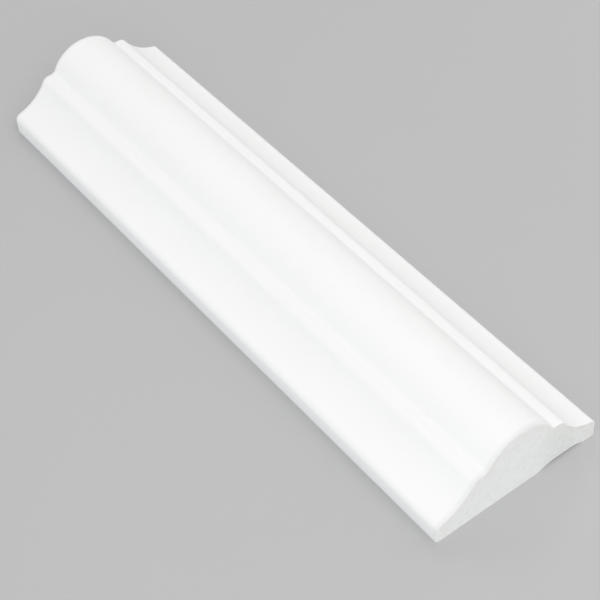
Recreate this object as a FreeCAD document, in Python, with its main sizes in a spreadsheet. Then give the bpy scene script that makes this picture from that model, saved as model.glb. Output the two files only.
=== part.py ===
import FreeCAD, Part
import math
import os
from collections import namedtuple

import Sketcher

# A short length of dado rail, moulded as one solid strip: flat on the wall side, sawn square at both ends,
# with one section all along. From each long edge to the middle the section runs lip, cove, step and bead,
# and a small rounding eases every corner between them. Its front half mirrors its back half.
# X runs along the rail, Y across it and Z out from the wall. The origin is the middle of the wall face.

# Driving sizes in millimetres: name, value, meaning. Corners are measured as if they were sharp.
SIZES = (
    ("rail_length", 225.0, "rail from one sawn end to the other"),
    ("lip_height", 6.75, "upright edge along each side, from the wall face to its top"),
    ("cove_width", 13.5, "hollow between lip and step, measured across the rail"),
    ("cove_rise", 10.0, "climb of the hollow from the lip up to the step"),
    ("cove_radius", 18.0, "radius of the hollow"),
    ("step_width", 4.0, "level step between hollow and bead"),
    ("bead_width", 25.0, "round bead from step to step"),
    ("bead_rise", 8.25, "crest of the bead above the steps"),
    ("lip_easing", 2.5, "rounding of the lip's top"),
    ("step_easing", 3.0, "rounding of the step's outer edge"),
    ("quirk_easing", 2.25, "rounding in the corner where the bead stands on the step"),
)

# A line, arc or point of the section, with its number in the sketch and its two ends as places for ties.
Member = namedtuple("Member", "number start end")


def make_sheet(doc):
    """Puts the driving sizes into a sheet, one row each, and returns the sheet."""
    sheet = doc.addObject("Spreadsheet::Sheet", "Sizes")
    for row, (name, value, meaning) in enumerate(SIZES, 1):
        sheet.set(f"A{row}", meaning)
        sheet.set(f"B{row}", str(value))
        sheet.setAlias(f"B{row}", name)
    doc.recompute()
    return sheet


def origin_plane(body, role):
    """Returns one of the body's own origin planes."""
    return next(item for item in body.Origin.OriginFeatures if item.Role == role)


def other_leg(hypotenuse, leg):
    """Returns the second short side of a right-angled triangle."""
    return math.sqrt(hypotenuse**2 - leg**2)


def arc(centre, start, end):
    """Returns the anticlockwise arc about a centre from one point to another."""
    circle = Part.Circle(centre, FreeCAD.Vector(0, 0, 1), start.distanceToPoint(centre))
    first, last = (math.atan2(point.y - centre.y, point.x - centre.x) for point in (start, end))
    return Part.ArcOfCircle(circle, first, last)


def half_outline(sheet):
    """Works out the back half of the section, in the plane across the rail.

    Returns its lines and arcs in order from the wall face round to the middle, then the three corners
    of lip, step and bead as they would be with no easing.
    """
    point = FreeCAD.Vector
    step_level = sheet.lip_height + sheet.cove_rise
    bead_foot = point(sheet.bead_width / 2, step_level)
    step_edge = bead_foot + point(sheet.step_width, 0)
    lip_top = step_edge + point(sheet.cove_width, -sheet.cove_rise)
    lip_foot = point(lip_top.x, 0)
    crest = point(0, step_level + sheet.bead_rise)
    middle = point(0, 0)

    # The bead passes through its crest and both its feet. The cove's centre stands off its chord.
    bead_radius = (bead_foot.x**2 + sheet.bead_rise**2) / (2 * sheet.bead_rise)
    bead_centre = crest - point(0, bead_radius)
    chord = lip_top - step_edge
    off_chord = point(-chord.y, chord.x).normalize() * other_leg(sheet.cove_radius, chord.Length / 2)
    cove_centre = (lip_top + step_edge) / 2 + off_chord

    # An easing's centre is its own radius off a straight member and both radii from a round one's centre.
    lip_inset = lip_top.x - sheet.lip_easing
    lip_drop = other_leg(sheet.cove_radius + sheet.lip_easing, lip_inset - cove_centre.x)
    lip_centre = point(lip_inset, cove_centre.y - lip_drop)
    edge_inset = step_level - sheet.step_easing
    edge_shift = other_leg(sheet.cove_radius + sheet.step_easing, edge_inset - cove_centre.y)
    edge_centre = point(cove_centre.x - edge_shift, edge_inset)
    quirk_lift = step_level + sheet.quirk_easing
    quirk_shift = other_leg(bead_radius + sheet.quirk_easing, quirk_lift - bead_centre.y)
    quirk_centre = point(quirk_shift, quirk_lift)

    def touch(easing_centre, easing, round_centre):
        return easing_centre + (round_centre - easing_centre).normalize() * easing

    lip_end = point(lip_top.x, lip_centre.y)
    cove_low = touch(lip_centre, sheet.lip_easing, cove_centre)
    cove_high = touch(edge_centre, sheet.step_easing, cove_centre)
    step_outer = point(edge_centre.x, step_level)
    step_inner = point(quirk_centre.x, step_level)
    bead_low = touch(quirk_centre, sheet.quirk_easing, bead_centre)
    members = (
        Part.LineSegment(middle, lip_foot),
        Part.LineSegment(lip_foot, lip_end),
        arc(lip_centre, lip_end, cove_low),
        arc(cove_centre, cove_high, cove_low),
        arc(edge_centre, cove_high, step_outer),
        Part.LineSegment(step_outer, step_inner),
        arc(quirk_centre, bead_low, step_inner),
        arc(bead_centre, bead_low, crest),
        Part.LineSegment(crest, middle),
    )
    return members, (lip_top, step_edge, bead_foot)


def draw_half_section(body, sheet):
    """Draws the back half of the section, closed along the middle, with every size tied to the sheet."""
    sketch = body.newObject("Sketcher::SketchObject", "HalfSection")
    sketch.AttachmentSupport = [(origin_plane(body, "YZ_Plane"), "")]
    sketch.MapMode = "FlatFace"

    def draw(geometry, helper=False):
        number = sketch.addGeometry(geometry, helper)
        return Member(number, start=(number, 1), end=(number, 2))

    def tie(*constraint):
        return sketch.addConstraint(Sketcher.Constraint(*constraint))

    def dimension(name, formula, kind, *where):
        number = tie(kind, *where, sketch.evalExpression(formula))
        sketch.renameConstraint(number, name)
        sketch.setExpression(f"Constraints.{name}", formula)

    members, corners = half_outline(sheet)
    wall_face, lip, lip_easing, cove, step_easing, step, quirk_easing, bead, middle = map(draw, members)
    lip_top, step_edge, bead_foot = (draw(Part.Point(corner), helper=True) for corner in corners)
    origin = (-1, 1)

    # The straight members run true, and the bead crosses the middle square to it.
    tie("Coincident", *wall_face.start, *origin)
    tie("Coincident", *middle.end, *origin)
    tie("Horizontal", wall_face.number)
    tie("Vertical", middle.number)
    tie("Coincident", *wall_face.end, *lip.start)
    tie("Vertical", lip.number)
    tie("Horizontal", step.number)
    tie("Perpendicular", *bead.end, *middle.start)

    # Every easing runs smoothly into the members on both sides of it.
    tie("Tangent", *lip.end, *lip_easing.start)
    tie("Tangent", *lip_easing.end, *cove.end)
    tie("Tangent", *cove.start, *step_easing.start)
    tie("Tangent", *step_easing.end, *step.start)
    tie("Tangent", *step.end, *quirk_easing.end)
    tie("Tangent", *quirk_easing.start, *bead.start)

    # The sharp corners, which the sizes are measured from, lie where two members would meet.
    for corner, pair in ((lip_top, (lip, cove)), (step_edge, (cove, step)), (bead_foot, (step, bead))):
        for member in pair:
            tie("PointOnObject", *corner.start, member.number)

    dimension("lip_height", "Sizes.lip_height", "DistanceY", *lip.start, *lip_top.start)
    dimension("cove_width", "Sizes.cove_width", "DistanceX", *step_edge.start, *lip_top.start)
    dimension("cove_rise", "Sizes.cove_rise", "DistanceY", *lip_top.start, *step_edge.start)
    dimension("cove_radius", "Sizes.cove_radius", "Radius", cove.number)
    dimension("step_width", "Sizes.step_width", "DistanceX", *bead_foot.start, *step_edge.start)
    dimension("half_bead", "Sizes.bead_width / 2", "DistanceX", *origin, *bead_foot.start)
    dimension("bead_rise", "Sizes.bead_rise", "DistanceY", *bead_foot.start, *bead.end)
    dimension("lip_easing", "Sizes.lip_easing", "Radius", lip_easing.number)
    dimension("step_easing", "Sizes.step_easing", "Radius", step_easing.number)
    dimension("quirk_easing", "Sizes.quirk_easing", "Radius", quirk_easing.number)
    return sketch


def make_rail(doc, sheet):
    """Builds the rail: half its section drawn out to length, then mirrored across the middle."""
    body = doc.addObject("PartDesign::Body", "DadoRail")
    body.Label = "dado_rail"
    body.Placement = FreeCAD.Placement()

    section = draw_half_section(body, sheet)
    half = body.newObject("PartDesign::Pad", "BackHalf")
    half.Profile = section
    half.SideType = "Symmetric"
    half.setExpression("Length", "Sizes.rail_length")

    whole = body.newObject("PartDesign::Mirrored", "BothHalves")
    whole.Originals = [half]
    whole.MirrorPlane = (origin_plane(body, "XZ_Plane"), [""])
    body.Tip = whole
    doc.recompute()
    return body


def check(doc, body):
    """Stops if any object failed to compute or the rail isn't one sound solid."""
    for item in doc.Objects:
        if {"Invalid", "Error"} & set(item.State):
            raise RuntimeError(f"{item.Label} failed: {item.State}")
    shape = body.Shape
    if shape.isNull() or not shape.isValid() or len(shape.Solids) != 1:
        raise RuntimeError(f"{body.Label} is not one sound solid")


def main():
    """Builds the rail, checks it and writes its solid."""
    doc = FreeCAD.newDocument("DadoRail")
    sheet = make_sheet(doc)
    rail = make_rail(doc, sheet)
    check(doc, rail)
    os.makedirs("parts", exist_ok=True)
    rail.Shape.exportStep(f"parts/{rail.Label}.step")


main()
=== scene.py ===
"""The looks of a short length of white dado rail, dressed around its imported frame.

The rail is one moulded strip of rigid foam. A satin white skin covers its face and both its lips, its wall
side is plain and dull, and both ends are sawn, so that the foam shows there. Lengths are in metres, in the
frame's own axes: X runs along the rail, Y across it and Z out from the wall, which the rail lies on here.
"""

import logging
import math
from collections.abc import Mapping
from dataclasses import dataclass
from enum import Enum
from typing import Any

import bpy
import numpy as np
import numpy.typing as npt
from mathutils import Matrix, Vector


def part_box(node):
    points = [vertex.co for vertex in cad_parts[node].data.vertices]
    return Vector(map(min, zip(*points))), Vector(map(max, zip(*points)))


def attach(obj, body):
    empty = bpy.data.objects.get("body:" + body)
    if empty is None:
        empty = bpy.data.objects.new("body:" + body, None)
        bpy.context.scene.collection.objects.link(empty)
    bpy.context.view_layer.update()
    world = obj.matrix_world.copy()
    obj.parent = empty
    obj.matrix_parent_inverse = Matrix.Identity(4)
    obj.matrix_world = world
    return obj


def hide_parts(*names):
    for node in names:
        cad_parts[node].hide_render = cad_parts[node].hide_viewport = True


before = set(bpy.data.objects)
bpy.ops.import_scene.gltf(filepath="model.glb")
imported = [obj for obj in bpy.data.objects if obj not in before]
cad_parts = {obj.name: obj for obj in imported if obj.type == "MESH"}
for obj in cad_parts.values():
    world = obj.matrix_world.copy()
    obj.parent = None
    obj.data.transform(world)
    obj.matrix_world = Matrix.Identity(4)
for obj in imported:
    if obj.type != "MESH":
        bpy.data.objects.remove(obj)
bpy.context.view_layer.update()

Array = npt.NDArray[np.float64]
Whole = npt.NDArray[np.int64]
Place = tuple[float, float, float]
Colour = tuple[float, float, float]
Socket = bpy.types.NodeSocket
Feed = Socket | float | tuple[float, ...]

MM = 0.001
RAIL_NODE = "dado_rail"
RAIL_BODY = "root"
RAIL_PIECE = "moulded_rail"

# Where a node that mixes colours takes the share and both colours, and where it puts out the mixed one.
MIX_SHARE, MIX_FIRST, MIX_SECOND, MIX_RESULT = 0, 6, 7, 2
OPAQUE = 1.0

# The colours of the light that the lamps and the room give.
PLAIN_LIGHT: Colour = (1.0, 1.0, 1.0)
COOL_LIGHT: Colour = (0.975, 1.0, 1.03)

log = logging.getLogger("dado_rail")


class Side(Enum):
    """The sides of the rail with a finish of their own, numbered as the slots of its mesh."""

    FACE = 0
    SAWN_END = 1
    WALL = 2


class End(Enum):
    """The two sawn ends, each as the direction along X that it faces."""

    LEFT = -1
    RIGHT = 1


def waves(place: Array, lengths: tuple[float, ...], seed: int) -> Array:
    """Adds up sine waves with chance phases, an uneven line that looks the same each run.

    Args:
        place: Where along the line the values are wanted.
        lengths: The length of each wave, in the units of place.
        seed: Chooses the phases.
    Returns:
        The mean of the waves at each place, between -1 and 1.
    """
    phases = np.random.default_rng(seed).uniform(0.0, math.tau, len(lengths))
    return np.sin(math.tau * place[..., None] / np.array(lengths) + phases).mean(axis=-1)


def climb(place: Array, foot: float, top: float) -> Array:
    """Goes smoothly from 0 at foot to 1 at top, as half a hump of a squared sine, and is level past them.

    Args:
        place: Where the values are wanted.
        foot: Where the climb starts.
        top: Where it ends, on either side of foot.
    Returns:
        The climb's height at each place.
    """
    share = np.clip((place - foot) / (top - foot), 0.0, 1.0)
    return np.sin(math.pi / 2 * share) ** 2


def other_leg(hypotenuse: float, leg: float) -> float:
    """Returns the second short side of a right-angled triangle."""
    return math.sqrt(hypotenuse**2 - leg**2)


def touch(easing_centre: Array, easing: float, round_centre: Array) -> Array:
    """Finds where an easing touches a round member: its own radius from its centre, towards the other's.

    Args:
        easing_centre: The middle of the easing.
        easing: Its radius.
        round_centre: The middle of the round member.
    Returns:
        The point that both of them pass through.
    """
    apart = round_centre - easing_centre
    return easing_centre + apart * easing / math.hypot(*apart)


@dataclass(frozen=True)
class Section:
    """The rail's section: lip, cove and step on each side, and the bead between them.

    Corners are measured as if they were sharp. The bead takes what the others leave of width and height.
    """

    width: float
    height: float
    lip_height: float = 6.75 * MM
    cove_width: float = 13.5 * MM
    cove_rise: float = 10.0 * MM
    cove_radius: float = 18.0 * MM
    step_width: float = 4.0 * MM
    lip_easing: float = 2.5 * MM
    step_easing: float = 3.0 * MM
    quirk_easing: float = 2.25 * MM
    spacing: float = 0.26 * MM
    fewest_on_arc: int = 6

    def arc(self, centre: Array, start: Array, end: Array) -> Array:
        """Samples an arc: the centre plus its radius at angles spread evenly from start to end.

        Args:
            centre: The middle of the circle.
            start: The arc's first point, which sets the radius.
            end: The arc's last point, the short way round from the first.
        Returns:
            Points on the arc, both ends among them.
        """
        first, last = (math.atan2(point[1] - centre[1], point[0] - centre[0]) for point in (start, end))
        turn = math.remainder(last - first, math.tau)
        radius = math.dist(centre, start)
        count = max(self.fewest_on_arc, round(abs(turn) * radius / self.spacing))
        angle = first + turn * np.linspace(0.0, 1.0, count)
        return centre + radius * np.stack([np.cos(angle), np.sin(angle)], axis=1)

    def half_face(self) -> Array:
        """Works out the back half of the moulded face, from the top of the lip to the crest of the bead.

        The bead passes through its crest and its foot, and the cove's centre stands off its chord. An
        easing's centre lies its own radius off the straight member beside it and both radii from the
        round one's centre, so that it touches both.

        Returns:
            Points (y, z) in order, in the plane across the rail.
        """
        step_level = self.lip_height + self.cove_rise
        lip_top = np.array([self.width / 2, self.lip_height])
        step_edge = lip_top + [-self.cove_width, self.cove_rise]
        bead_foot = step_edge - [self.step_width, 0.0]
        crest = np.array([0.0, self.height])

        bead_rise = self.height - step_level
        bead_radius = (bead_foot[0] ** 2 + bead_rise**2) / (2 * bead_rise)
        bead_centre = crest - [0.0, bead_radius]
        chord = lip_top - step_edge
        chord_length = math.hypot(*chord)
        off_chord = other_leg(self.cove_radius, chord_length / 2)
        square_to_chord = np.array([-chord[1], chord[0]]) / chord_length
        cove_centre = (lip_top + step_edge) / 2 + off_chord * square_to_chord

        lip_inset = lip_top[0] - self.lip_easing
        lip_drop = other_leg(self.cove_radius + self.lip_easing, lip_inset - cove_centre[0])
        lip_centre = np.array([lip_inset, cove_centre[1] - lip_drop])
        edge_inset = step_level - self.step_easing
        edge_shift = other_leg(self.cove_radius + self.step_easing, edge_inset - cove_centre[1])
        edge_centre = np.array([cove_centre[0] - edge_shift, edge_inset])
        quirk_lift = step_level + self.quirk_easing
        quirk_shift = other_leg(bead_radius + self.quirk_easing, quirk_lift - bead_centre[1])
        quirk_centre = np.array([quirk_shift, quirk_lift])

        cove_low = touch(lip_centre, self.lip_easing, cove_centre)
        cove_high = touch(edge_centre, self.step_easing, cove_centre)
        bead_low = touch(quirk_centre, self.quirk_easing, bead_centre)
        step_outer = np.array([edge_centre[0], step_level])
        step_inner = np.array([quirk_centre[0], step_level])
        step_count = round(math.dist(step_outer, step_inner) / self.spacing)
        members = (
            self.arc(lip_centre, lip_centre + [self.lip_easing, 0.0], cove_low),
            self.arc(cove_centre, cove_low, cove_high),
            self.arc(edge_centre, cove_high, step_outer),
            np.linspace(step_outer, step_inner, step_count),
            self.arc(quirk_centre, step_inner, bead_low),
            self.arc(bead_centre, bead_low, crest),
        )
        return np.vstack([members[0]] + [member[1:] for member in members[1:]])

    def face(self) -> Array:
        """Returns the moulded face from the front lip to the back one: the back half and its mirror."""
        back = self.half_face()
        return np.vstack([back * [-1.0, 1.0], back[-2::-1]])

    @staticmethod
    def outward(face: Array) -> Array:
        """Works out where a face looks: its direction turned a quarter to the left, level at both lips.

        Args:
            face: Points (y, z) from the front lip to the back one.
        Returns:
            A unit vector for each of them.
        """
        ahead = np.gradient(face, axis=0)
        outward = np.stack([-ahead[:, 1], ahead[:, 0]], axis=1)
        outward[[0, -1]] = [[-1.0, 0.0], [1.0, 0.0]]
        return outward / np.linalg.norm(outward, axis=1, keepdims=True)


@dataclass(frozen=True)
class SawCut:
    """What the saw leaves on an end: opened foam cells, a slightly uneven plane and a rubbed edge."""

    seed: int
    cell_sizes: tuple[float, ...] = (1.1 * MM, 2.3 * MM)
    cell_depths: tuple[float, ...] = (0.02 * MM, 0.04 * MM)
    cell_seed_room: tuple[float, float] = (0.1, 0.9)
    spare_squares: int = 2
    wander: float = 0.06 * MM
    wander_lengths: tuple[float, ...] = (9 * MM, 13 * MM, 22 * MM)
    edge_radius: float = 0.3 * MM
    wear: float = 0.45 * MM
    worn_to: float = 3 * MM
    crisp_from: float = 16 * MM
    rub_reach: float = 1.8 * MM
    crumble: float = 0.3 * MM
    crumble_lengths: tuple[float, ...] = (1.3 * MM, 2.2 * MM, 4.1 * MM, 7.3 * MM)
    even_by_lips: float = 3 * MM

    def cells(self, points: Array, size: float, layer: int) -> Array:
        """Measures opened cells: one seed, moved by chance, lies in each square of a lattice, and every
        cell has a depth of its own. A point's value is how much nearer it lies to the nearest seed than to
        the next, as a share, times that depth, so it is 0 on the wall between two cells.

        Args:
            points: Places (y, z) on the cut.
            size: The width of a lattice square.
            layer: Keeps the chances of one layer of cells apart from those of another.
        Returns:
            The opened depth at each point, from 0 to 1.
        """
        chance = np.random.default_rng([self.seed, layer])
        flat = points.reshape(-1, 2)
        low = flat.min(axis=0) - self.spare_squares * size
        across, up = np.ceil((flat.max(axis=0) - low) / size).astype(int) + self.spare_squares + 1
        shift = chance.uniform(*self.cell_seed_room, (across, up, 2))
        depth = chance.uniform(0.0, 1.0, (across, up)) ** 2

        square = np.floor((points - low) / size).astype(int)
        near = np.stack(np.meshgrid([-1, 0, 1], [-1, 0, 1], indexing="ij"), axis=-1).reshape(-1, 2)
        seat = square[..., None, :] + near
        seeds = low + (seat + shift[seat[..., 0], seat[..., 1]]) * size
        reach = np.linalg.norm(points[..., None, :] - seeds, axis=-1)
        order = np.argsort(reach, axis=-1)
        first, second = np.moveaxis(np.take_along_axis(reach, order[..., :2], axis=-1), -1, 0)
        own = np.take_along_axis(depth[seat[..., 0], seat[..., 1]], order[..., :1], axis=-1)[..., 0]
        return own * (second - first) / (second + first)

    def depth(self, points: Array) -> tuple[Array, Array]:
        """Works out how far the cut lies behind the flat end: cells of each size, plus a slow wander.

        Args:
            points: Places (y, z) on the cut.
        Returns:
            The depth at each point, 0 or more, and how open the cells are there, from 0 to 1.
        """
        opened = [self.cells(points, size, layer) for layer, size in enumerate(self.cell_sizes)]
        pits = sum(share * deep for share, deep in zip(opened, self.cell_depths))
        across = waves(points[..., 0], self.wander_lengths, self.seed)
        up = waves(points[..., 1], self.wander_lengths, self.seed + 1)
        return pits + self.wander * (1.0 + (across + up) / 2) / 2, np.clip(sum(opened), 0.0, 1.0)

    def worn(self, across: Array) -> Array:
        """Returns how worn the edge is along Y: 1 from the front over the bead, then dying away to 0."""
        return climb(across, self.crisp_from, self.worn_to)

    def rounding(self, across: Array, along: Array) -> Array:
        """Works out how round the edge between face and cut is: a least radius, plus what wear adds, plus
        uneven waves, squared so that few of them stand out. They die away at the upright lips, where the
        cut would fold under an uneven edge.

        Args:
            across: Places along Y, all the way from the front lip to the back one.
            along: The length along the face at each of them, from the front lip.
        Returns:
            The radius of the edge at each of them.
        """
        uneven = 0.5 + waves(along, self.crumble_lengths, self.seed) / 2
        off_lips = climb(np.minimum(along, along[-1] - along), 0.0, self.even_by_lips)
        return self.edge_radius + self.wear * self.worn(across) + self.crumble * off_lips * uneven**2

    def rub(self, across: Array, behind: Array) -> Array:
        """Works out how rubbed the skin is: as worn as the edge beside it, dying away behind the cut.

        Args:
            across: Places along Y.
            behind: Distances behind the cut.
        Returns:
            The rub at each place, from 0 to 1.
        """
        return self.worn(across) * climb(behind, self.rub_reach, 0.0)


@dataclass(frozen=True)
class BrokenEdge:
    """A shallow piece broken out along the wall side where the saw came through, at the right end."""

    start: float = 7.5 * MM
    full_from: float = 14.5 * MM
    full_to: float = 21.5 * MM
    end: float = 26.5 * MM
    rise: float = 0.8 * MM
    reach: float = 4.0 * MM
    hollow: float = 0.3 * MM
    hollow_height: float = 7.5 * MM
    ripple: float = 0.12
    ripple_lengths: tuple[float, ...] = (1.1 * MM, 1.9 * MM, 3.3 * MM)
    seed: int = 5
    # Painted shade greys the foam towards the back of the right end; the hump round the break is a bruise.
    painted_shade_from: float = 6.5 * MM
    bruise_and_shade_full: float = 16.0 * MM
    bruise_height: float = 7.0 * MM
    bruise_radius: float = 5.0 * MM
    painted_shade_share: float = 0.5

    def span(self, across: Array) -> Array:
        """Works out how much of the break there is across the rail: a smooth climb to 1, a level stretch
        with ripples on it and a smooth fall.

        Args:
            across: Places along Y.
        Returns:
            The share of the full break at each place.
        """
        ripples = 1.0 - self.ripple * (0.5 + waves(across, self.ripple_lengths, self.seed) / 2)
        return ripples * climb(across, self.start, self.full_from) * climb(across, self.end, self.full_to)

    def lift(self, across: Array, behind: Array) -> Array:
        """Works out how high the break reaches: its share across the rail, times a fall that is squared
        with the distance behind the end.

        Args:
            across: Places along Y.
            behind: Distances behind the sawn end.
        Returns:
            The lift off the wall side at each place.
        """
        return self.rise * self.span(across) * np.clip(1.0 - behind / self.reach, 0.0, 1.0) ** 2

    def set_back(self, across: Array, height: Array) -> Array:
        """Works out how far the break hollows the end: its share across the rail, times a fall that is
        squared with the height above the wall side.

        Args:
            across: Places along Y.
            height: Places along Z.
        Returns:
            The distance behind the sawn end at each place.
        """
        return self.hollow * self.span(across) * np.clip(1.0 - height / self.hollow_height, 0.0, 1.0) ** 2

    def bruise_and_shade(self, across: Array, height: Array) -> Array:
        """Works out the painted shade and the bruise on the foam by the break: painted shade that climbs
        across the rail and lasts to its back, plus the bruise, a round hump falling off as a bell curve
        does.

        Args:
            across: Places along Y.
            height: Places along Z.
        Returns:
            The painted shade and bruise at each place, from 0 to 1.
        """
        off = np.hypot(across - self.bruise_and_shade_full, height - self.bruise_height) / self.bruise_radius
        # This climb is painted shade towards the back; the hump below is the bruise round the break.
        spread = climb(across, self.painted_shade_from, self.bruise_and_shade_full)
        return self.painted_shade_share * spread + (1.0 - self.painted_shade_share) * np.exp(-(off**2) / 2)


class Wiring:
    """A node tree in the making, with short calls for the nodes that the finishes use."""

    def __init__(self, tree: bpy.types.NodeTree) -> None:
        """Takes a tree and empties it."""
        self.tree = tree
        tree.nodes.clear()

    def add(self, kind: str, inputs: Mapping[Any, Feed] | None = None, **settings: Any) -> bpy.types.Node:
        """Adds a node with its settings and feeds its inputs.

        Args:
            kind: The type of node.
            inputs: By name or number, an output to link or a plain value to set.
            settings: The node's own properties.
        Returns:
            The new node.
        """
        node = self.tree.nodes.new(kind)
        for name, value in settings.items():
            setattr(node, name, value)
        for key, value in (inputs or {}).items():
            if isinstance(value, Socket):
                self.tree.links.new(value, node.inputs[key])
            else:
                node.inputs[key].default_value = value
        return node

    def work_out(self, operation: str, *values: Feed, kept_in: bool = False) -> Socket:
        """Works out one sum.

        Args:
            operation: What is done, such as MULTIPLY.
            values: The outputs and numbers that it is done with.
            kept_in: Whether the result is kept between 0 and 1.
        Returns:
            The result.
        """
        settings = {"operation": operation, "use_clamp": kept_in}
        return self.add("ShaderNodeMath", dict(enumerate(values)), **settings).outputs[0]

    def between(self, share: Socket, low: float, high: float) -> Socket:
        """Returns a number that goes from low to high as the share goes from 0 to 1."""
        inputs = {"Value": share, "To Min": low, "To Max": high}
        return self.add("ShaderNodeMapRange", inputs).outputs["Result"]

    def blend(self, share: Socket | float, first: Socket | Colour, second: Socket | Colour) -> Socket:
        """Mixes two colours.

        Args:
            share: How much of the second colour shows, from 0 to 1.
            first: A colour or the output that gives it.
            second: The other one.
        Returns:
            The mixed colour.
        """
        inputs = {MIX_SHARE: share, MIX_FIRST: first, MIX_SECOND: second}
        for key in (MIX_FIRST, MIX_SECOND):
            if not isinstance(inputs[key], Socket):
                inputs[key] = (*inputs[key], OPAQUE)
        return self.add("ShaderNodeMix", inputs, data_type="RGBA").outputs[MIX_RESULT]

    def group(self, tree: bpy.types.NodeTree, inputs: Mapping[str, Feed]) -> Socket:
        """Places a shared effect with its own values and returns what it puts out."""
        return self.add("ShaderNodeGroup", inputs, node_tree=tree).outputs[0]

    def place(self) -> Socket:
        """Returns the rail's own coordinates."""
        return self.add("ShaderNodeTexCoord").outputs["Object"]

    def measure(self, name: str) -> Socket:
        """Returns a measure that the mesh carries at its points."""
        return self.add("ShaderNodeAttribute", attribute_name=name).outputs["Fac"]


def effect_group(name: str, numbers: tuple[str, ...]) -> tuple[Wiring, bpy.types.Node, bpy.types.Node]:
    """Starts a shared effect that takes a place and some numbers and puts out one mask.

    Args:
        name: What the effect is called.
        numbers: The names of the numbers it takes.
    Returns:
        Its wiring, the node that its inputs come from and the node that its mask goes to.
    """
    tree = bpy.data.node_groups.new(name, "ShaderNodeTree")
    tree.interface.new_socket("Place", in_out="INPUT", socket_type="NodeSocketVector")
    for number in numbers:
        tree.interface.new_socket(number, in_out="INPUT", socket_type="NodeSocketFloat")
    tree.interface.new_socket("Mask", in_out="OUTPUT", socket_type="NodeSocketFloat")
    wiring = Wiring(tree)
    return wiring, wiring.add("NodeGroupInput"), wiring.add("NodeGroupOutput")


class Effects:
    """The effects that several finishes share, each built once."""

    def __init__(self) -> None:
        """Builds every effect."""
        self.mottle = self.make_mottle()
        self.pinholes = self.make_pinholes()

    @staticmethod
    def make_mottle() -> bpy.types.NodeTree:
        """Builds soft blotches: noise of the given size, pulled apart about its middle and kept in 0 to 1.

        Returns:
            The group, which puts out the blotches as a mask.
        """
        wiring, given, result = effect_group("mottle", ("Size", "Contrast", "Detail"))
        middle = 0.5
        scale = wiring.work_out("DIVIDE", 1.0, given.outputs["Size"])
        inputs = {"Vector": given.outputs["Place"], "Scale": scale, "Detail": given.outputs["Detail"]}
        noise = wiring.add("ShaderNodeTexNoise", inputs)
        off_middle = wiring.work_out("SUBTRACT", noise.outputs["Fac"], middle)
        contrast = given.outputs["Contrast"]
        pulled = wiring.work_out("MULTIPLY_ADD", off_middle, contrast, middle, kept_in=True)
        wiring.tree.links.new(pulled, result.inputs["Mask"])
        return wiring.tree

    @staticmethod
    def make_pinholes() -> bpy.types.NodeTree:
        """Builds scattered pinholes: small balls at chance places in space, where the surface cuts them.

        Returns:
            The group, which puts out the depth of the holes as a mask.
        """
        wiring, given, result = effect_group("pinholes", ("Spacing", "Radius", "Share"))
        scale = wiring.work_out("DIVIDE", 1.0, given.outputs["Spacing"])
        cells = wiring.add("ShaderNodeTexVoronoi", {"Vector": given.outputs["Place"], "Scale": scale})
        reach = wiring.work_out("MULTIPLY", cells.outputs["Distance"], given.outputs["Spacing"])
        off_middle = wiring.work_out("DIVIDE", reach, given.outputs["Radius"])
        inside = wiring.work_out("SUBTRACT", 1.0, off_middle)
        ball = wiring.work_out("SQRT", wiring.work_out("MAXIMUM", inside, 0.0))
        chance = wiring.add("ShaderNodeSeparateColor", {"Color": cells.outputs["Color"]}).outputs["Red"]
        chosen = wiring.work_out("LESS_THAN", chance, given.outputs["Share"])
        wiring.tree.links.new(wiring.work_out("MULTIPLY", ball, chosen), result.inputs["Mask"])
        return wiring.tree


@dataclass(frozen=True)
class Blotches:
    """How a finish is blotched: the blotches' size, how hard they are and how finely they break up."""

    size: float
    contrast: float
    detail: float

    def mask(self, wiring: Wiring, effects: Effects, place: Socket) -> Socket:
        """Returns the shared blotches with these values, as a mask from 0 to 1."""
        inputs = {"Place": place, "Size": self.size, "Contrast": self.contrast, "Detail": self.detail}
        return wiring.group(effects.mottle, inputs)


@dataclass(frozen=True)
class Pinholes:
    """How a finish is pricked with holes: the room for each, its radius and the share of rooms with one."""

    spacing: float
    radius: float
    share: float

    def mask(self, wiring: Wiring, effects: Effects, place: Socket) -> Socket:
        """Returns the shared pinholes with these values, as a mask from 0 to 1."""
        inputs = {"Place": place, "Spacing": self.spacing, "Radius": self.radius, "Share": self.share}
        return wiring.group(effects.pinholes, inputs)


def new_material(name: str) -> tuple[bpy.types.Material, Wiring]:
    """Starts a material.

    Args:
        name: What the finish is called.
    Returns:
        The material and its empty wiring.
    """
    material = bpy.data.materials.new(name)
    material.use_nodes = True
    return material, Wiring(material.node_tree)


def close_material(wiring: Wiring, surface: Mapping[str, Feed]) -> None:
    """Ends a material with its shader, whose sockets take what the surface gives for them by name."""
    shader = wiring.add("ShaderNodeBsdfPrincipled", surface)
    wiring.add("ShaderNodeOutputMaterial", {"Surface": shader.outputs["BSDF"]})


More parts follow.
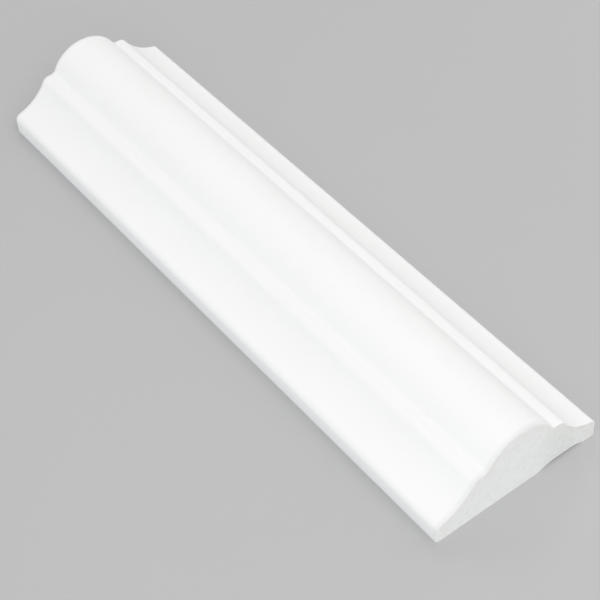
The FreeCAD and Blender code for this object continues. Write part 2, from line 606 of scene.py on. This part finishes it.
@dataclass(frozen=True)
class SatinSkin:
    """The moulded white face: satin and nearly even, with faint blotches, a fine peel and a few pinholes.

    It is grey where the edge is rubbed, and painted shade makes it greyer towards the foot of the lips.
    """

    white: Colour = (0.90, 0.90, 0.898)
    dull_white: Colour = (0.885, 0.884, 0.878)
    pinhole: Colour = (0.82, 0.815, 0.80)
    rubbed: Colour = (0.74, 0.742, 0.738)
    # Painted shade: the greyer, bluer colour the skin takes towards the foot of the lips.
    painted_foot_shade: Colour = (0.802, 0.818, 0.826)
    foot_shade_height: float = 4.5 * MM
    least_rub: float = 0.8
    roughness: float = 0.50
    dull_roughness: float = 0.58
    shine: float = 0.4
    blotches: Blotches = Blotches(size=28 * MM, contrast=1.6, detail=3.0)
    peel: Blotches = Blotches(size=1.6 * MM, contrast=1.2, detail=3.0)
    pinholes: Pinholes = Pinholes(spacing=4 * MM, radius=0.3 * MM, share=0.08)
    peel_share: float = 0.3
    relief: float = 0.012 * MM

    def material(self, effects: Effects) -> bpy.types.Material:
        """Wires the finish.

        Args:
            effects: The shared effects.
        Returns:
            The material.
        """
        material, wiring = new_material("satin_white_skin")
        place = wiring.place()
        blotch = self.blotches.mask(wiring, effects, place)
        peel = self.peel.mask(wiring, effects, place)
        holes = self.pinholes.mask(wiring, effects, place)

        height = wiring.add("ShaderNodeSeparateXYZ", {"Vector": place}).outputs["Z"]
        # Painted shade: the skin greys towards the foot of the lips, below the shade's height.
        foot_shade = wiring.work_out("SUBTRACT", 1.0, wiring.work_out("DIVIDE", height, self.foot_shade_height))
        skin = wiring.blend(foot_shade, wiring.blend(blotch, self.white, self.dull_white), self.painted_foot_shade)
        pricked = wiring.blend(holes, skin, self.pinhole)
        patchy = wiring.between(peel, self.least_rub, 1.0)
        rub = wiring.work_out("MULTIPLY", wiring.measure("rub"), patchy)
        relief = wiring.work_out("SUBTRACT", wiring.work_out("MULTIPLY", peel, self.peel_share), holes)
        bump = wiring.add("ShaderNodeBump", {"Height": relief, "Distance": self.relief})
        surface = {
            "Base Color": wiring.blend(rub, pricked, self.rubbed),
            "Roughness": wiring.between(blotch, self.roughness, self.dull_roughness),
            "Specular IOR Level": self.shine,
            "Normal": bump.outputs["Normal"],
        }
        close_material(wiring, surface)
        return material


@dataclass(frozen=True)
class SawnFoam:
    """The cut ends: cloudy white foam, warmer just under the skin and greyer where it is bruised by the
    break.
    Painted shade greys the right end towards its back and darkens the opened cells.
    """

    rim: Colour = (0.82, 0.82, 0.79)
    deep: Colour = (0.83, 0.848, 0.846)
    light_cloud: Colour = (0.89, 0.90, 0.89)
    dark_cloud: Colour = (0.775, 0.785, 0.775)
    # Painted shade in the opened cells: the foam is darker where a cell is cut deeper.
    open_cell_shade: Colour = (0.68, 0.68, 0.665)
    # The grey of the bruise and of the painted shade towards the back of the right end.
    bruised_and_shaded: Colour = (0.66, 0.672, 0.655)
    rim_depth: float = 7.0 * MM
    clouds: Blotches = Blotches(size=4 * MM, contrast=2.4, detail=2.0)
    cloud_limits: tuple[float, float] = (0.3, 0.7)
    cloud_share: float = 0.35
    grain: Blotches = Blotches(size=1.3 * MM, contrast=2.4, detail=1.0)
    grain_share: float = 0.35
    bruise_and_shade_limits: tuple[float, float] = (0.55, 0.25)
    open_cell_shade_share: float = 0.25
    roughness_limits: tuple[float, float] = (0.8, 0.95)
    shine: float = 0.25
    relief: float = 0.025 * MM

    def material(self, effects: Effects) -> bpy.types.Material:
        """Wires the finish.

        Args:
            effects: The shared effects.
        Returns:
            The material.
        """
        material, wiring = new_material("sawn_white_foam")
        place = wiring.place()
        clouds = wiring.between(self.clouds.mask(wiring, effects, place), *self.cloud_limits)
        grain = self.grain.mask(wiring, effects, place)

        under_skin = wiring.work_out("DIVIDE", wiring.measure("skin_depth"), self.rim_depth)
        bulk = wiring.blend(under_skin, self.rim, self.deep)
        cloud = wiring.blend(clouds, self.dark_cloud, self.light_cloud)
        puff = wiring.blend(grain, self.dark_cloud, self.light_cloud)
        cloudy = wiring.blend(self.cloud_share, bulk, cloud)
        grainy = wiring.blend(self.grain_share, cloudy, puff)
        patchy = wiring.between(grain, *self.bruise_and_shade_limits)
        # Painted shade and a bruise: greyer towards the back of the right end and round the break.
        bruise_and_shade = wiring.work_out("MULTIPLY", wiring.measure("bruise_and_shade"), patchy)
        greyed = wiring.blend(bruise_and_shade, grainy, self.bruised_and_shaded)
        # Painted shade: darker where an opened cell is deeper.
        opened = wiring.work_out("MULTIPLY", wiring.measure("open_cell_shade"), self.open_cell_shade_share)
        bump = wiring.add("ShaderNodeBump", {"Height": grain, "Distance": self.relief})
        surface = {
            "Base Color": wiring.blend(opened, greyed, self.open_cell_shade),
            "Roughness": wiring.between(grain, *self.roughness_limits),
            "Specular IOR Level": self.shine,
            "Normal": bump.outputs["Normal"],
        }
        close_material(wiring, surface)
        return material


@dataclass(frozen=True)
class WallSide:
    """The flat side that is glued to the wall: bare moulded foam, dull, closed but pitted."""

    pale: Colour = (0.85, 0.85, 0.84)
    grey: Colour = (0.78, 0.78, 0.765)
    pinhole: Colour = (0.52, 0.51, 0.49)
    blotches: Blotches = Blotches(size=12 * MM, contrast=2.0, detail=3.0)
    grain: Blotches = Blotches(size=0.9 * MM, contrast=1.5, detail=3.0)
    grain_share: float = 0.4
    pinholes: Pinholes = Pinholes(spacing=2.5 * MM, radius=0.45 * MM, share=0.5)
    roughness_limits: tuple[float, float] = (0.65, 0.8)
    relief: float = 0.03 * MM

    def material(self, effects: Effects) -> bpy.types.Material:
        """Wires the finish.

        Args:
            effects: The shared effects.
        Returns:
            The material.
        """
        material, wiring = new_material("bare_wall_side")
        place = wiring.place()
        blotch = self.blotches.mask(wiring, effects, place)
        grain = self.grain.mask(wiring, effects, place)
        holes = self.pinholes.mask(wiring, effects, place)

        relief = wiring.work_out("SUBTRACT", wiring.work_out("MULTIPLY", grain, self.grain_share), holes)
        bump = wiring.add("ShaderNodeBump", {"Height": relief, "Distance": self.relief})
        surface = {
            "Base Color": wiring.blend(holes, wiring.blend(blotch, self.pale, self.grey), self.pinhole),
            "Roughness": wiring.between(grain, *self.roughness_limits),
            "Normal": bump.outputs["Normal"],
        }
        close_material(wiring, surface)
        return material


@dataclass(frozen=True)
class PaleFloor:
    """The floor: plain, dull and pale grey, with blotches that hardly show."""

    colour: Colour = (0.505, 0.505, 0.505)
    shade: Colour = (0.495, 0.495, 0.495)
    blotches: Blotches = Blotches(size=60 * MM, contrast=1.0, detail=3.0)
    roughness: float = 0.9

    def material(self, effects: Effects) -> bpy.types.Material:
        """Wires the finish.

        Args:
            effects: The shared effects.
        Returns:
            The material.
        """
        material, wiring = new_material("pale_floor")
        blotch = self.blotches.mask(wiring, effects, wiring.place())
        colour = wiring.blend(blotch, self.colour, self.shade)
        close_material(wiring, {"Base Color": colour, "Roughness": self.roughness})
        return material


@dataclass
class DadoRail:
    """The rail itself: its section carried along its length, closed by a sawn end on either side."""

    section: Section
    length: float
    cuts: Mapping[End, SawCut]
    broken_edge: BrokenEdge
    rows: int = 60
    edge_steps: int = 8
    foam_steps: int = 2
    first_behind: float = 1.6 * MM
    last_behind: float = 14.0 * MM
    stations_by_end: int = 12
    middle_stations: int = 14
    skin_stride: int = 2
    sharp_angle: float = math.radians(50)

    def by_end(self, end: End, face: Array) -> tuple[Array, Array]:
        """Spaces the stations next to an end. The first ones go round the rubbed edge: behind the cut and
        in from the face they follow a quarter circle of the edge's radius. The others stand ever wider
        apart.

        Args:
            end: Which end it is.
            face: Points (y, z) from the front lip to the back one.
        Returns:
            By station, from the cut inwards, and by point: the place along X and the way in from the face.
        """
        run = np.linalg.norm(np.diff(face, axis=0, prepend=face[:1]), axis=1).cumsum()
        radius = self.cuts[end].rounding(face[:, 0], run)
        turn = np.linspace(0.0, math.pi / 2, self.edge_steps + 1)[:, None]
        spaced = np.geomspace(self.first_behind, self.last_behind, self.stations_by_end)[:, None]
        beyond = np.tile(spaced, len(face))
        behind = np.vstack([radius * (1.0 - np.cos(turn)), beyond])
        inset = np.vstack([radius * (1.0 - np.sin(turn)), np.zeros_like(beyond)])
        return end.value * (self.length / 2 - behind), inset

    def skin(self) -> Array:
        """Carries the face along the rail: every station repeats it, set in round the rubbed edges.

        Returns:
            Points by station, from left to right, and along the face, from the front lip to the back one.
        """
        face = self.section.face()
        left, left_inset = self.by_end(End.LEFT, face)
        right, right_inset = self.by_end(End.RIGHT, face)
        reach = self.length / 2 - self.last_behind
        spaced = np.linspace(-reach, reach, self.middle_stations + 2)[1:-1, None]
        middle = np.tile(spaced, len(face))
        along = np.vstack([left, middle, right[::-1]])
        inset = np.vstack([left_inset, np.zeros_like(middle), right_inset[::-1]])
        across = face - inset[..., None] * self.section.outward(face)
        return np.concatenate([along[..., None], across], axis=-1)

    def shell(self, skin: Array) -> Array:
        """Closes the skin into a ring at every station: the wall side lies straight below the face, and a
        lip is a share of the way up to it. A piece is broken out of the wall side by the right end, where
        the stations draw together behind the break.

        Args:
            skin: Points by station and along the face.
        Returns:
            Points by station and round the section, the wall side first.
        """
        wall = skin * [1.0, 1.0, 0.0]
        behind = self.length / 2 - wall[..., 0]
        set_back = self.broken_edge.set_back(wall[..., 1], wall[..., 2])
        wall[..., 0] -= set_back * np.clip(1.0 - behind / self.last_behind, 0.0, 1.0)
        wall[..., 2] = self.broken_edge.lift(wall[..., 1], behind)
        share = np.linspace(0.0, 1.0, self.rows + 1)[1:-1, None]
        up = np.hstack([np.ones((len(share), 2)), share])
        return np.concatenate([wall, skin[:, -1:] * up, skin[:, ::-1], skin[:, :1] * up[::-1]], axis=1)

    def sawn_face(self, rim: Array, columns: int, end: End) -> tuple[Array, Array]:
        """Fills an end between its wall side and its face: a point is the share of its row on the straight
        line from one to the other, then set back by the saw cut's depth and, on the right, by the break.

        Args:
            rim: The shell's points at this end.
            columns: How many of them are on the wall side, and on the face.
            end: Which end it is.
        Returns:
            The inner points of the end, row by row, and how open the foam's cells are at them.
        """
        wall = rim[:columns, 1:]
        face = rim[columns + self.rows - 1 : 2 * columns + self.rows - 1, 1:][::-1]
        share = np.linspace(0.0, 1.0, self.rows + 1)[1:-1, None, None]
        places = (wall + (face - wall) * share)[:, 1:-1]
        depth, opened = self.cuts[end].depth(places)
        if end is End.RIGHT:
            depth = depth + self.broken_edge.set_back(places[..., 0], places[..., 1])
        along = end.value * (self.length / 2 - depth)
        return np.concatenate([along[..., None], places], axis=-1).reshape(-1, 3), opened.ravel()

    @staticmethod
    def border(grid: Whole) -> Whole:
        """Returns a grid's border: along the wall side, up the back lip, over the face and down again."""
        return np.concatenate([grid[0], grid[1:-1, -1], grid[-1, ::-1], grid[-2:0:-1, 0]])

    @staticmethod
    def quads(grid: Whole) -> Whole:
        """Joins a grid of point numbers into quads, anticlockwise where rows rise and columns run right."""
        corners = (grid[:-1, :-1], grid[:-1, 1:], grid[1:, 1:], grid[1:, :-1])
        return np.stack(corners, axis=-1).reshape(-1, len(corners))

    def shell_sides(self, shell: Array, columns: int) -> Whole:
        """Sorts the shell's faces by side: foam shows on the outside of the rubbed edges and in the break.

        Args:
            shell: Points by station and round the section.
            columns: How many places round the section are on the wall side.
        Returns:
            The number of the side, by station and round the section.
        """
        stations, around = shell.shape[:2]
        on_wall = np.arange(around) < columns - 1
        sides = np.tile(np.where(on_wall, Side.WALL.value, Side.FACE.value), (stations - 1, 1))
        sides[: self.foam_steps, ~on_wall] = Side.SAWN_END.value
        sides[-self.foam_steps :, ~on_wall] = Side.SAWN_END.value
        lifted = shell[1:, :, 2] > 0.0
        sides[on_wall & (lifted | np.roll(lifted, -1, axis=1))] = Side.SAWN_END.value
        return sides

    def below_skin(self, places: Array) -> Array:
        """Measures how far each point lies below the skin: its least distance to the face and the lips.

        Args:
            places: Points of the rail.
        Returns:
            Their distances in the plane of the section.
        """
        foot = np.array([self.section.width / 2, 0.0])
        skin = np.vstack([-foot, self.section.face()[:: self.skin_stride], foot])
        start, run = skin[:-1], np.diff(skin, axis=0)
        off = places[:, None, 1:] - start
        share = np.clip((off * run).sum(axis=-1) / (run**2).sum(axis=-1), 0.0, 1.0)
        return np.linalg.norm(off - share[..., None] * run, axis=-1).min(axis=1)

    def assemble(self) -> tuple[Array, Whole, Whole, Array]:
        """Joins the shell to a sawn face at each end, whose border is the shell's own last points.

        Returns:
            Every point, the four point numbers of each face, the number of each face's side, and how open
            the foam's cells are at each point.
        """
        skin = self.skin()
        shell = self.shell(skin)
        stations, around = shell.shape[:2]
        rows, columns = self.rows + 1, skin.shape[1]
        grid = np.arange(rows * columns).reshape(rows, columns)
        ring = np.arange(stations * around).reshape(stations, around)

        points = [shell.reshape(-1, 3)]
        faces = [self.quads(np.hstack([ring, ring[:, :1]]))]
        sides = [self.shell_sides(shell, columns).ravel()]
        opened = [np.zeros(ring.size)]
        count = ring.size
        for end, station in ((End.LEFT, 0), (End.RIGHT, -1)):
            inner, cells = self.sawn_face(shell[station], columns, end)
            numbers = np.empty((rows, columns), dtype=int)
            numbers.reshape(-1)[self.border(grid)] = ring[station]
            numbers[1:-1, 1:-1] = count + np.arange(len(inner)).reshape(rows - 2, columns - 2)
            quads = self.quads(numbers)
            points.append(inner)
            faces.append(quads[:, :: end.value])
            sides.append(np.full(len(quads), Side.SAWN_END.value))
            opened.append(cells)
            count += len(inner)
        return np.concatenate(points), np.concatenate(faces), np.concatenate(sides), np.concatenate(opened)

    def mesh(self, places: Array, faces: Whole, sides: Whole) -> bpy.types.Mesh:
        """Puts points and faces into a mesh, smooth but for its sharp edges.

        Args:
            places: Every point.
            faces: Four point numbers for each face.
            sides: The side of the rail that each face is on.
        Returns:
            The mesh.
        """
        mesh = bpy.data.meshes.new(RAIL_PIECE)
        mesh.vertices.add(len(places))
        mesh.vertices.foreach_set("co", places.astype(np.float32).ravel())
        mesh.loops.add(faces.size)
        mesh.loops.foreach_set("vertex_index", faces.astype(np.int32).ravel())
        mesh.polygons.add(len(faces))
        mesh.polygons.foreach_set("loop_start", np.arange(0, faces.size, faces.shape[1], dtype=np.int32))
        mesh.polygons.foreach_set("material_index", sides.astype(np.int32))
        mesh.polygons.foreach_set("use_smooth", np.ones(len(faces), dtype=bool))
        mesh.update(calc_edges=True)
        mesh.validate()
        mesh.set_sharp_from_angle(angle=self.sharp_angle)
        return mesh

    def build(self) -> bpy.types.Object:
        """Builds the rail as one closed mesh, which carries at its points the measures its finishes read.

        Returns:
            The rail.
        """
        places, faces, sides, opened = self.assemble()
        mesh = self.mesh(places, faces, sides)
        along, across, height = places.T
        by_break = along > self.length / 2 - self.last_behind
        behind = {end: self.length / 2 - end.value * along for end in End}
        measures = {
            # How open the cells are, which sets the painted shade in them.
            "open_cell_shade": opened,
            "skin_depth": self.below_skin(places),
            # Painted shade towards the back of the right end, plus a bruise round the break.
            "bruise_and_shade": by_break * self.broken_edge.bruise_and_shade(across, height),
            "rub": sum(self.cuts[end].rub(across, behind[end]) for end in End),
        }
        for name, values in measures.items():
            attribute = mesh.attributes.new(name, "FLOAT", "POINT")
            attribute.data.foreach_set("value", values.astype(np.float32))
        rail = bpy.data.objects.new(RAIL_PIECE, mesh)
        bpy.context.scene.collection.objects.link(rail)
        return rail

    @staticmethod
    def dress(rail: bpy.types.Object, finishes: Mapping[Side, bpy.types.Material]) -> None:
        """Gives each side its finish and seats the rail in the frame.

        Args:
            rail: The rail that build() made.
            finishes: The material of each side.
        """
        for side in Side:
            rail.data.materials.append(finishes[side])
        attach(rail, RAIL_BODY)
        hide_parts(RAIL_NODE)


@dataclass(frozen=True)
class Softbox:
    """A soft lamp: an evenly bright panel, aimed at a point. Its brightness is a share of plain white."""

    name: str
    place: Place
    width: float
    depth: float
    brightness: float
    colour: Colour = PLAIN_LIGHT
    aim: Place = (0.0, 0.0, 0.0)

    def build(self) -> bpy.types.Object:
        """Hangs the lamp, its power being its brightness times its area times pi.

        Returns:
            The lamp.
        """
        data = bpy.data.lights.new(self.name, "AREA")
        data.shape = "RECTANGLE"
        data.size, data.size_y = self.width, self.depth
        data.energy = self.brightness * math.pi * self.width * self.depth
        data.color = self.colour
        lamp = bpy.data.objects.new(self.name, data)
        turn = (Vector(self.aim) - Vector(self.place)).to_track_quat("-Z", "Y")
        lamp.matrix_world = Matrix.LocRotScale(Vector(self.place), turn, None)
        lamp.visible_camera = False
        bpy.context.scene.collection.objects.link(lamp)
        return lamp


@dataclass(frozen=True)
class PhotoCamera:
    """The camera of the photograph: its place in metres, its turns, and its focal length in pixels."""

    place: Place = (0.306588, -0.20496, 0.381768)
    azimuth: float = math.radians(55.2495)
    elevation: float = math.radians(47.1742)
    roll: float = math.radians(-3.7566)
    image_width: float = 600.0
    focal_length: float = 1653.0

    def build(self) -> bpy.types.Object:
        """Sets up the camera: it looks back along its azimuth and elevation, then turns by its roll.

        Returns:
            The camera.
        """
        level = math.cos(self.elevation)
        back = Vector(
            (math.sin(self.azimuth) * level, -math.cos(self.azimuth) * level, math.sin(self.elevation))
        )
        right = Vector((math.cos(self.azimuth), math.sin(self.azimuth), 0.0))
        turn = Matrix((right, back.cross(right), back)).transposed().to_4x4()
        data = bpy.data.cameras.new("photo_camera")
        data.lens = self.focal_length / self.image_width * data.sensor_width
        camera = bpy.data.objects.new("photo_camera", data)
        camera.matrix_world = Matrix.Translation(self.place) @ turn @ Matrix.Rotation(self.roll, 4, "Z")
        bpy.context.scene.collection.objects.link(camera)
        bpy.context.scene.camera = camera
        return camera


@dataclass(frozen=True)
class Studio:
    """The plain surroundings: a pale floor, a pale room and soft lamps."""

    floor_reach: float = 8.0
    floor_finish: PaleFloor = PaleFloor()
    room_colour: Colour = PLAIN_LIGHT
    room_brightness: float = 0.59
    softboxes: tuple[Softbox, ...] = (
        Softbox("overhead", (0.5, 0.0, 0.95), width=0.9, depth=0.9, brightness=1.34),
        Softbox("back", (0.0, 1.0, 0.7), width=0.9, depth=0.9, brightness=0.90),
        Softbox("left_back", (-0.6, 0.42, 0.8), width=0.35, depth=0.35, brightness=2.8),
        Softbox("camera_side", (0.75, -0.65, 0.8), width=0.9, depth=0.9, brightness=0.59),
        Softbox("front_strip", (0.6, -2.1, 0.24), width=3.0, depth=0.42, brightness=3.7, colour=COOL_LIGHT),
        Softbox("right_strip", (2.1, -0.3, 0.4), width=2.0, depth=0.8, brightness=1.06),
    )

    def floor(self, effects: Effects) -> bpy.types.Object:
        """Lays the floor: a square about the rail, in the plane of its wall side.

        Args:
            effects: The shared effects.
        Returns:
            The floor.
        """
        corners = np.array([[-1.0, -1.0, 0.0], [1.0, -1.0, 0.0], [1.0, 1.0, 0.0], [-1.0, 1.0, 0.0]])
        mesh = bpy.data.meshes.new("floor")
        mesh.from_pydata((corners * self.floor_reach).tolist(), [], [(0, 1, 2, 3)])
        mesh.materials.append(self.floor_finish.material(effects))
        floor = bpy.data.objects.new("floor", mesh)
        bpy.context.scene.collection.objects.link(floor)
        return floor

    def room(self) -> bpy.types.World:
        """Surrounds the rail with an even pale light, seen and mirrored as bright as the floor.

        Returns:
            The world.
        """
        world = bpy.data.worlds.new("pale_room")
        world.use_nodes = True
        wiring = Wiring(world.node_tree)
        glow = {"Color": (*self.room_colour, OPAQUE), "Strength": self.room_brightness}
        light = wiring.add("ShaderNodeBackground", glow)
        seen = wiring.add("ShaderNodeBackground", {"Color": (*self.floor_finish.colour, OPAQUE)})
        rays = wiring.add("ShaderNodeLightPath").outputs
        mirrored = wiring.work_out("MAXIMUM", rays["Is Glossy Ray"], rays["Is Transmission Ray"])
        by_eye = wiring.work_out("MAXIMUM", rays["Is Camera Ray"], mirrored)
        mixed = wiring.add("ShaderNodeMixShader", {0: by_eye, 1: light.outputs[0], 2: seen.outputs[0]})
        wiring.add("ShaderNodeOutputWorld", {"Surface": mixed.outputs[0]})
        bpy.context.scene.world = world
        return world


def main() -> None:
    """Builds the rail, dresses it, sets up the studio and reports each piece."""
    logging.basicConfig(level=logging.INFO, format="%(name)s: %(message)s")
    bpy.context.scene.view_settings.view_transform = "Standard"
    effects = Effects()

    low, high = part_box(RAIL_NODE)
    length, width, height = high - low
    rail = DadoRail(
        section=Section(width=width, height=height),
        length=length,
        cuts={End.LEFT: SawCut(seed=11), End.RIGHT: SawCut(seed=23)},
        broken_edge=BrokenEdge(),
    )
    piece = rail.build()
    finishes = {Side.FACE: SatinSkin(), Side.SAWN_END: SawnFoam(), Side.WALL: WallSide()}
    rail.dress(piece, {side: finish.material(effects) for side, finish in finishes.items()})
    log.info("%s: %d faces, %d finishes", piece.name, len(piece.data.polygons), len(piece.data.materials))

    studio = Studio()
    log.info("%s laid", studio.floor(effects).name)
    log.info("%s lit", studio.room().name)
    for softbox in studio.softboxes:
        log.info("%s lamp hung", softbox.build().name)
    log.info("%s set up", PhotoCamera().build().name)


if __name__ == "__main__":
    main()
